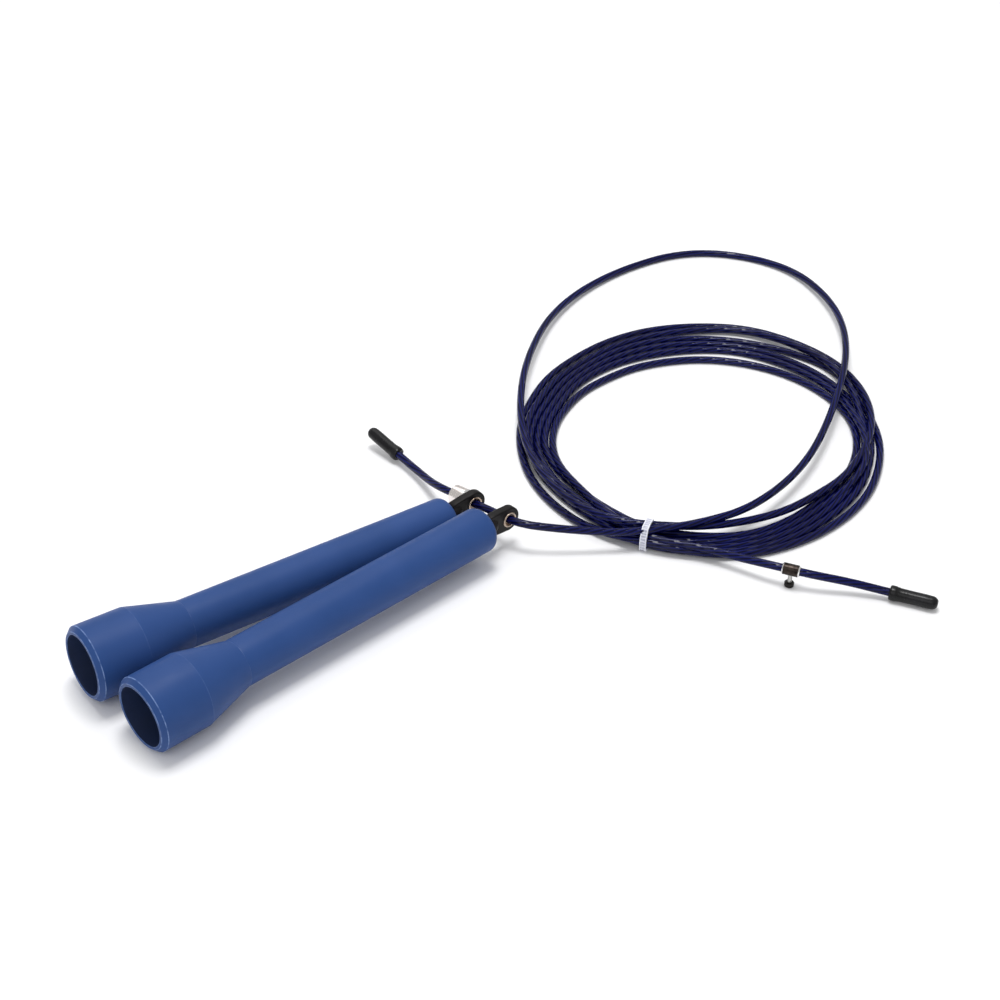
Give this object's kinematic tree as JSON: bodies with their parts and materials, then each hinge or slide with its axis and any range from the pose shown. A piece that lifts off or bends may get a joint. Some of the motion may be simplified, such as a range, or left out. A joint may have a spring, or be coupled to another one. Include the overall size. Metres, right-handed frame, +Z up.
{
  "type": "jump rope",
  "caption": "Speed jump rope put away: two hollow plastic handles on swivel eyes, threaded on a coated steel cable that is coiled and held by a tie.",
  "frame": {"origin": "middle of the two handles and their swivel eyes in plan, at floor level", "axes": "+X from the open butts towards the swivel eyes along the middle line between the handles, +Y towards the far handle, +Z up; the rope lies on the floor at z = 0"},
  "size_m": [0.4338, 0.2719, 0.0295],
  "materials": {
    "handle_plastic": "smooth moulded, satin gloss",
    "black_nylon": "moulded",
    "eyelet_metal": "nickel wash, worn",
    "zinc_steel": "zinc plated",
    "coated_cable": "glossy coat over twisted strands",
    "black_rubber": "smooth, slightly glossy",
    "nickel_plate": "plated, turned",
    "dark_steel": "black oxide with bright edges",
    "white_nylon": "milky, translucent"
  },
  "bodies": {
    "rope": {"cable_lead": "coated_cable", "cable_loop": "coated_cable", "cable_tail": "coated_cable", "cable_coil": "coated_cable", "end_cap_left": "black_rubber", "end_cap_right": "black_rubber", "stop_collar_left": "nickel_plate", "stop_collar_right": "dark_steel", "cable_tie": "white_nylon"},
    "far_swivel": {"swivel_eye_far": "black_nylon", "eyelet_far": "eyelet_metal", "swivel_washer_far": "zinc_steel", "swivel_screw_far": "zinc_steel"},
    "near_swivel": {"swivel_eye_near": "black_nylon", "eyelet_near": "eyelet_metal", "swivel_washer_near": "zinc_steel", "swivel_screw_near": "zinc_steel"},
    "far_handle": {"handle_far": "handle_plastic"},
    "near_handle": {"handle_near": "handle_plastic"},
    "left_clamp_screw": {"clamp_screw_left": "dark_steel"},
    "right_clamp_screw": {"clamp_screw_right": "dark_steel"}
  },
  "joints": [
    {"name": "far_handle_swing", "type": "hinge", "parent": "rope", "child": "far_swivel", "pos_m": [0.08246, 0.00918, 0.01157], "axis": [0.0485, 0.9988, 0], "range_deg": [0, 90]},
    {"name": "near_handle_swing", "type": "hinge", "parent": "rope", "child": "near_swivel", "pos_m": [0.08474, -0.00917, 0.01307], "axis": [-0.0485, 0.9988, 0], "range_deg": [0, 45]},
    {"name": "far_handle_spin", "type": "hinge", "parent": "far_swivel", "child": "far_handle", "pos_m": [0.07049, 0.00976, 0.00903], "axis": [0.998, -0.0485, -0.0404], "continuous": true},
    {"name": "near_handle_spin", "type": "hinge", "parent": "near_swivel", "child": "near_handle", "pos_m": [0.07281, -0.00975, 0.01441], "axis": [0.9988, 0.0485, 0], "continuous": true},
    {"name": "left_clamp_screw_turn", "type": "hinge", "parent": "rope", "child": "left_clamp_screw", "pos_m": [0.08298, 0.0158, 0.00972], "axis": [0.7039, 0.0287, -0.7097], "range_deg": [0, 720]},
    {"name": "right_clamp_screw_turn", "type": "hinge", "parent": "rope", "child": "right_clamp_screw", "pos_m": [0.15158, -0.09977, 0.0061], "axis": [-0.0094, 0.0168, -0.9998], "range_deg": [0, 1080]}
  ]
}
